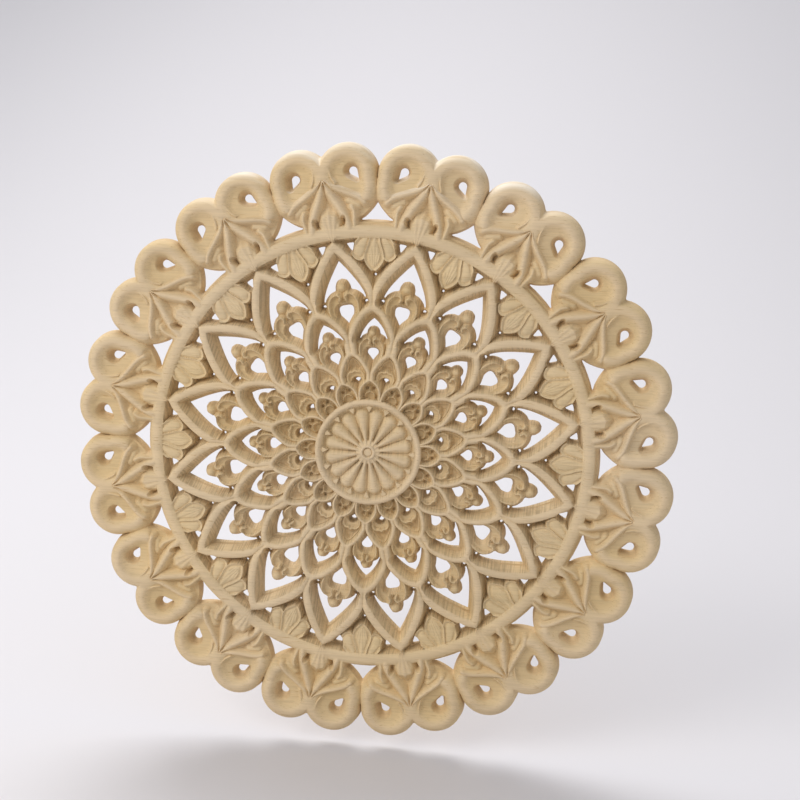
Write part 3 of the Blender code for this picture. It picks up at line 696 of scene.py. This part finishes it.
def front_wedge():
    """Solid block under the carved front of half a repeat, with thinned facets."""
    block = bmesh.new()
    carve_wedge(block)
    front = block.faces[:]
    back = bmesh.ops.extrude_face_region(block, geom=front, use_keep_orig=True)
    low = [part for part in back["geom"] if isinstance(part, bmesh.types.BMVert)]
    bmesh.ops.scale(block, vec=(1.0, 1.0, 0.0), verts=low)
    bmesh.ops.remove_doubles(block, verts=block.verts, dist=MERGE)
    bmesh.ops.dissolve_degenerate(block, edges=block.edges, dist=MERGE)
    bmesh.ops.triangulate(block, faces=block.faces)
    put_in_order(block)
    bmesh.ops.recalc_face_normals(block, faces=block.faces)
    wedge = thinned(block, WEDGE_FACETS)
    block.free()
    return wedge


def cut_to_wedge(bm):
    """Cut the block back to the two planes that part the repeats, with a flat back and
    nothing above the board."""
    slant = (math.cos(HALF_REPEAT), -math.sin(HALF_REPEAT), 0.0)
    for normal in ((-1.0, 0.0, 0.0), slant):
        bmesh.ops.bisect_plane(bm, geom=bm.verts[:] + bm.edges[:] + bm.faces[:],
                               dist=NEAR_PLANE, plane_co=(0, 0, 0), plane_no=normal,
                               clear_outer=True)
    bm.normal_update()
    for vert in bm.verts:
        vert.co.z = min(vert.co.z, THICKNESS)
        if any(face.normal.z < -FACES_BACK for face in vert.link_faces):
            vert.co.z = 0.0
        if abs(vert.co.x) < NEAR_PLANE:
            vert.co.x = 0.0
        away = vert.co.dot(Vector(slant))
        if abs(away) < NEAR_PLANE:
            vert.co -= away * Vector(slant)
        if math.hypot(vert.co.x, vert.co.y) < NEAR_MIDDLE:
            vert.co.xy = (0.0, 0.0)


def repeat_round(bm):
    """Mirror the wedge and set sixteen of the pairs round the middle."""
    bmesh.ops.mirror(bm, geom=bm.verts[:] + bm.edges[:] + bm.faces[:],
                     matrix=Matrix.Identity(4), merge_dist=MERGE, axis="X")
    bmesh.ops.spin(bm, geom=bm.verts[:] + bm.edges[:] + bm.faces[:], cent=(0, 0, 0),
                   axis=(0, 0, 1), angle=2 * math.pi * (REPEATS - 1) / REPEATS,
                   steps=REPEATS - 1, use_duplicate=True, use_merge=False)
    bmesh.ops.remove_doubles(bm, verts=bm.verts, dist=MERGE)
    put_in_order(bm)
    bmesh.ops.recalc_face_normals(bm, faces=bm.faces)


def carved_openwork():
    """The whole carved disc, upright, with its back on the wall plane."""
    wedge = front_wedge()
    cut_to_wedge(wedge)
    repeat_round(wedge)
    wedge.transform(Matrix.Rotation(math.radians(90), 4, "X"))
    mesh = bpy.data.meshes.new("carved_openwork")
    wedge.to_mesh(mesh)
    wedge.free()
    mesh.polygons.foreach_set("use_smooth", [True] * len(mesh.polygons))
    mesh.set_sharp_from_angle(angle=SHARP_ANGLE)
    piece = bpy.data.objects.new("carved_openwork", mesh)
    bpy.context.scene.collection.objects.link(piece)
    return piece


def node(tree, kind, **sockets):
    """New shader node with plain values on some of its sockets."""
    new = tree.nodes.new(kind)
    for name, value in sockets.items():
        new.inputs[name.replace("_", " ")].default_value = value
    return new


def stretched_noise(tree, place, scale, detail, roughness):
    """Noise drawn out by three scales along the object's axes."""
    mapping = node(tree, "ShaderNodeMapping", Scale=scale)
    tree.links.new(place, mapping.inputs["Vector"])
    noise = node(tree, "ShaderNodeTexNoise", Scale=1.0, Detail=detail, Roughness=roughness)
    tree.links.new(mapping.outputs["Vector"], noise.inputs["Vector"])
    return noise.outputs["Fac"]


def ramp(tree, value, stops):
    """Grey or coloured ramp over a value, from (position, colour) pairs."""
    new = tree.nodes.new("ShaderNodeValToRGB")
    elements = new.color_ramp.elements
    while len(elements) < len(stops):
        elements.new(0.5)
    for element, (position, colour) in zip(elements, stops):
        element.position = position
        element.color = colour
    tree.links.new(value, new.inputs["Fac"])
    return new.outputs["Color"]


def math_node(tree, operation, *values, clamp=False):
    """Arithmetic on sockets and plain numbers."""
    new = tree.nodes.new("ShaderNodeMath")
    new.operation = operation
    new.use_clamp = clamp
    for socket, value in zip(new.inputs, values):
        if isinstance(value, (int, float)):
            socket.default_value = value
        else:
            tree.links.new(value, socket)
    return new.outputs["Value"]


def mixed(tree, blend, amount, below, above):
    """Two colours laid over each other."""
    new = tree.nodes.new("ShaderNodeMix")
    new.data_type = "RGBA"
    new.blend_type = blend
    for name, value in (("Factor", amount), ("A", below), ("B", above)):
        socket = next(s for s in new.inputs if s.name == name and s.enabled)
        if isinstance(value, bpy.types.NodeSocket):
            tree.links.new(value, socket)
        else:
            socket.default_value = value
    return next(s for s in new.outputs if s.enabled)


def grey(level):
    """Opaque grey of one level."""
    return (level, level, level, 1.0)


def faded(tree, value, start, span):
    """Rises from nothing at the start to one after the span, which may run downwards."""
    return math_node(tree, "MULTIPLY_ADD", value, 1.0 / span, -start / span, clamp=True)


def from_middle(tree, parts):
    """Distance from the middle of the disc, along its face."""
    flat = tree.nodes.new("ShaderNodeCombineXYZ")
    tree.links.new(parts.outputs["X"], flat.inputs["X"])
    tree.links.new(parts.outputs["Z"], flat.inputs["Z"])
    length = tree.nodes.new("ShaderNodeVectorMath")
    length.operation = "LENGTH"
    tree.links.new(flat.outputs["Vector"], length.inputs[0])
    return length.outputs["Value"]


def raw_wood():
    """Bare pale hardwood: long grain from side to side, with painted shade that makes it
    darker and more honey-coloured deeper in the cuts, painted light that pales the steep
    walls, machining lines on the petals' walls, and a painted highlight streaked like raised
    grain on the upward slopes along the upper edge."""
    material = bpy.data.materials.new("raw_wood")
    material.use_nodes = True
    tree = material.node_tree
    shader = tree.nodes["Principled BSDF"]
    place = tree.nodes.new("ShaderNodeTexCoord")
    spot = place.outputs["Object"]
    parts = tree.nodes.new("ShaderNodeSeparateXYZ")
    tree.links.new(spot, parts.inputs["Vector"])
    facing = tree.nodes.new("ShaderNodeSeparateXYZ")
    tree.links.new(place.outputs["Normal"], facing.inputs["Vector"])

    # Height above the back as a share of the board, and how steep the surface is
    depth = math_node(tree, "MULTIPLY", parts.outputs["Y"], -1.0 / THICKNESS, clamp=True)
    flat = math_node(tree, "ABSOLUTE", facing.outputs["Y"])
    wall = math_node(tree, "SUBTRACT", 1.0, flat, clamp=True)

    grain = stretched_noise(tree, spot, GRAIN_SCALE, 3.0, 0.62)
    streak = stretched_noise(tree, spot, STREAK_SCALE, 2.0, 0.5)
    cloud = stretched_noise(tree, spot, CLOUD_SCALE, 2.0, 0.5)
    pores = stretched_noise(tree, spot, PORE_SCALE, 1.0, 0.5)
    hatch = stretched_noise(tree, spot, HATCH_SCALE, 1.0, 0.5)
    fuzz = stretched_noise(tree, spot, FUZZ_SCALE, 4.0, 0.7)

    # Painted shade: darker, more saturated colour the deeper a place lies in the cuts,
    # lightest on the crests
    tone = ramp(tree, depth, [(0.15, DEEP_SHADE_COLOUR), (0.50, CUT_SHADE_COLOUR), (0.78, FACE_COLOUR),
                              (0.95, CREST_COLOUR)])
    # Painted light: the steep walls turn paler, standing in for light from behind through the
    # openings
    tone = mixed(tree, "MIX", math_node(tree, "MULTIPLY", wall, WALL_LIGHT_SHARE), tone, WALL_LIGHT_COLOUR)
    tone = mixed(tree, "MIX", ramp(tree, cloud, [(0.38, grey(0.0)), (0.70, grey(0.5))]),
                 tone, PALE_COLOUR)
    tone = mixed(tree, "MULTIPLY", 1.0, tone, ramp(tree, streak, [(0.30, grey(0.90)),
                                                                  (0.62, grey(1.0))]))
    tone = mixed(tree, "MULTIPLY", 1.0, tone, ramp(tree, grain, [(0.30, grey(0.88)),
                                                                 (0.58, grey(1.0))]))
    tone = mixed(tree, "MULTIPLY", 1.0, tone, ramp(tree, pores, [(0.25, PORE_COLOUR),
                                                                 (0.34, grey(1.0))]))

    # Fine upright machining lines on the steep walls inside the ring
    inner = faded(tree, from_middle(tree, parts), LINES_END, -LINES_FADE)
    cut_wall = math_node(tree, "MULTIPLY", wall, inner)
    shade = ramp(tree, hatch, [(0.42, grey(LINE_SHADE)), (0.52, grey(1.0))])
    tone = mixed(tree, "MULTIPLY", 1.0, tone, mixed(tree, "MIX", cut_wall, grey(1.0), shade))

    # Painted highlight: pale streaks on the slopes that face up along the disc's upper edge,
    # where light from above falls, combed like raised grain
    upward = faded(tree, facing.outputs["Z"], HIGHLIGHT_LEAN, HIGHLIGHT_LEAN_SPAN)
    upper = faded(tree, parts.outputs["Z"], HIGHLIGHT_START, HIGHLIGHT_SPAN)
    combed = ramp(tree, streak, [(0.38, grey(0.15)), (0.56, grey(0.75))])
    top_highlight = math_node(tree, "MULTIPLY", math_node(tree, "MULTIPLY", upward, upper), combed)
    tone = mixed(tree, "MIX", top_highlight, tone, TOP_HIGHLIGHT_COLOUR)
    tree.links.new(tone, shader.inputs["Base Color"])

    rough = ramp(tree, grain, [(0.3, grey(0.62)), (0.7, grey(0.80))])
    tree.links.new(rough, shader.inputs["Roughness"])
    shader.inputs["Specular IOR Level"].default_value = WOOD_GLOSS

    carved = math_node(tree, "MULTIPLY", hatch, cut_wall)
    nap = math_node(tree, "ADD", math_node(tree, "MULTIPLY", grain, GRAIN_BUMP),
                    math_node(tree, "MULTIPLY", fuzz, FUZZ_BUMP))
    skin = math_node(tree, "ADD", nap, carved)
    bump = node(tree, "ShaderNodeBump", Strength=BUMP_STRENGTH, Distance=BUMP_DEPTH)
    tree.links.new(skin, bump.inputs["Height"])
    tree.links.new(bump.outputs["Normal"], shader.inputs["Normal"])
    return material


def studio_paper():
    """Pale matt paper of the floor, with a faint lilac tint."""
    material = bpy.data.materials.new("studio_paper")
    material.use_nodes = True
    shader = material.node_tree.nodes["Principled BSDF"]
    shader.inputs["Base Color"].default_value = PAPER_COLOUR
    shader.inputs["Roughness"].default_value = PAPER_ROUGHNESS
    return material


def paper_sweep():
    """Seamless paper: a floor below the disc, swept up in a wide curve far behind it."""
    bm = bmesh.new()
    floor_level = cad_low.z - FLOOR_GAP
    start = bm.verts.new((-SWEEP_WIDTH / 2, -SWEEP_FRONT, floor_level))
    front = bmesh.ops.extrude_vert_indiv(bm, verts=[start])
    foot = front["verts"][0]
    foot.co = (-SWEEP_WIDTH / 2, SWEEP_START, floor_level)
    curve = bmesh.ops.spin(bm, geom=[foot], axis=(1, 0, 0), angle=SWEEP_ANGLE,
                           cent=(0, SWEEP_START, floor_level + SWEEP_RADIUS),
                           steps=SWEEP_STEPS)
    top = bmesh.ops.extrude_vert_indiv(bm, verts=[part for part in curve["geom_last"]
                                                  if isinstance(part, bmesh.types.BMVert)])
    top["verts"][0].co.z += SWEEP_HEIGHT
    wide = bmesh.ops.extrude_edge_only(bm, edges=bm.edges[:])
    moved = [part for part in wide["geom"] if isinstance(part, bmesh.types.BMVert)]
    bmesh.ops.translate(bm, verts=moved, vec=(SWEEP_WIDTH, 0, 0))
    bmesh.ops.recalc_face_normals(bm, faces=bm.faces)
    mesh = bpy.data.meshes.new("paper_sweep")
    bm.to_mesh(mesh)
    bm.free()
    mesh.polygons.foreach_set("use_smooth", [True] * len(mesh.polygons))
    sweep = bpy.data.objects.new("paper_sweep", mesh)
    sweep.data.materials.append(studio_paper())
    bpy.context.scene.collection.objects.link(sweep)


def soft_light(name, place, size, power, colour):
    """Square area light that looks at the middle of the disc."""
    light = bpy.data.lights.new(name, "AREA")
    light.size = size
    light.energy = power
    light.color = colour
    lamp = bpy.data.objects.new(name, light)
    lamp.location = place
    lamp.rotation_euler = (-Vector(place)).to_track_quat("-Z", "Y").to_euler()
    bpy.context.scene.collection.objects.link(lamp)


def studio_light():
    """Bright even surroundings, a window above and behind, and a weak fill in front on
    the left."""
    world = bpy.data.worlds.new("pale_room")
    world.use_nodes = True
    background = world.node_tree.nodes["Background"]
    background.inputs["Color"].default_value = ROOM_COLOUR
    background.inputs["Strength"].default_value = ROOM_STRENGTH
    bpy.context.scene.world = world
    soft_light("window", WINDOW_PLACE, WINDOW_SIZE, WINDOW_POWER, WINDOW_COLOUR)
    soft_light("fill", FILL_PLACE, FILL_SIZE, FILL_POWER, FILL_COLOUR)


def photo_camera():
    """Camera at the photograph's viewing angle."""
    data = bpy.data.cameras.new("photo_camera")
    data.sensor_width = SENSOR_WIDTH
    data.lens = FOCAL_PIXELS * SENSOR_WIDTH / IMAGE_SIZE
    data.clip_start = NEAR_CLIP
    camera = bpy.data.objects.new("photo_camera", data)
    bpy.context.scene.collection.objects.link(camera)
    turned = (Matrix.Rotation(VIEW_TILT, 3, "X") @ Matrix.Rotation(VIEW_TURN, 3, "Y")
              @ Matrix.Rotation(VIEW_ROLL, 3, "Z")).transposed()
    upright = Matrix.Rotation(math.radians(90), 3, "X")
    place = turned @ Vector((-VIEW_SHIFT[0], -VIEW_SHIFT[1], VIEW_DISTANCE))
    place = upright @ (place * R) + Vector((0, -VIEW_BACK * R, 0))
    camera.matrix_world = (upright @ turned).to_4x4()
    camera.location = place
    bpy.context.scene.camera = camera


disc = carved_openwork()
disc.data.materials.append(raw_wood())
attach(disc, "root")
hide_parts(NODE)

paper_sweep()
studio_light()
photo_camera()
bpy.context.scene.view_settings.view_transform = "Standard"
